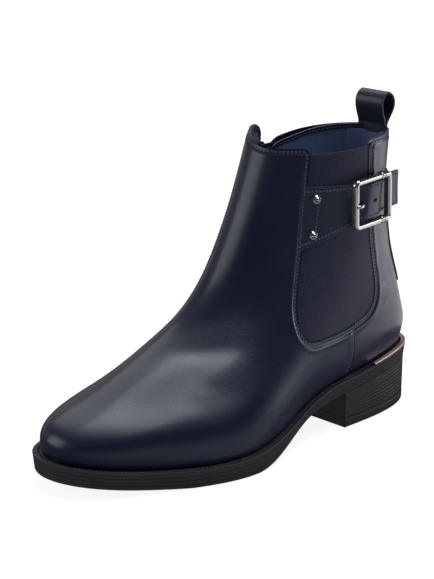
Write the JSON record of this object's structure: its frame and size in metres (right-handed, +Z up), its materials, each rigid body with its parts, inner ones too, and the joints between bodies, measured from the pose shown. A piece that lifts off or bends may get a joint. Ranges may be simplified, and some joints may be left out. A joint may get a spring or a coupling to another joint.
{
  "type": "ankle boot",
  "caption": "Left ankle boot with an elastic side panel, a buckled strap over it, a zip on the inner side, a pull loop at the back and a ribbed block heel.",
  "frame": {"origin": "middle of the outsole's plan box, on the floor", "axes": "+X towards the toe, +Y towards the outer side (the wearer's left), +Z up"},
  "size_m": [0.2528, 0.1012, 0.1777],
  "materials": {
    "navy_leather": "smooth, softly polished",
    "navy_elastic": "fine woven",
    "black_leather": "smooth",
    "sock_lining": "matte",
    "charcoal_rubber": "matte, ribbed sides",
    "rose_gold": "polished, rose tint",
    "bright_steel": "polished",
    "zip_steel": "dark, polished",
    "zip_tape": "woven tape"
  },
  "bodies": {
    "boot": {"outsole": "charcoal_rubber", "heel": "charcoal_rubber", "heel_top_lift": "charcoal_rubber", "heel_trim": "rose_gold", "insole": "sock_lining", "upper": "navy_leather", "gore": "navy_elastic", "strap": "navy_leather", "strap_rear": "navy_leather", "buckle_frame": "bright_steel", "buckle_prong": "bright_steel", "stud_upper": "bright_steel", "stud_lower": "bright_steel", "backstay": "black_leather", "pull_loop": "black_leather", "zip_tape": "zip_tape", "zip_slider": "zip_steel"},
    "zip_pull": {"zip_pull_tab": "zip_steel"}
  },
  "joints": [
    {"name": "zip_pull_hinge", "type": "hinge", "parent": "boot", "child": "zip_pull", "pos_m": [-0.04765, -0.0386, 0.1484], "axis": [-0.9841, -0.1776, 0], "range_deg": [0, 160]}
  ]
}
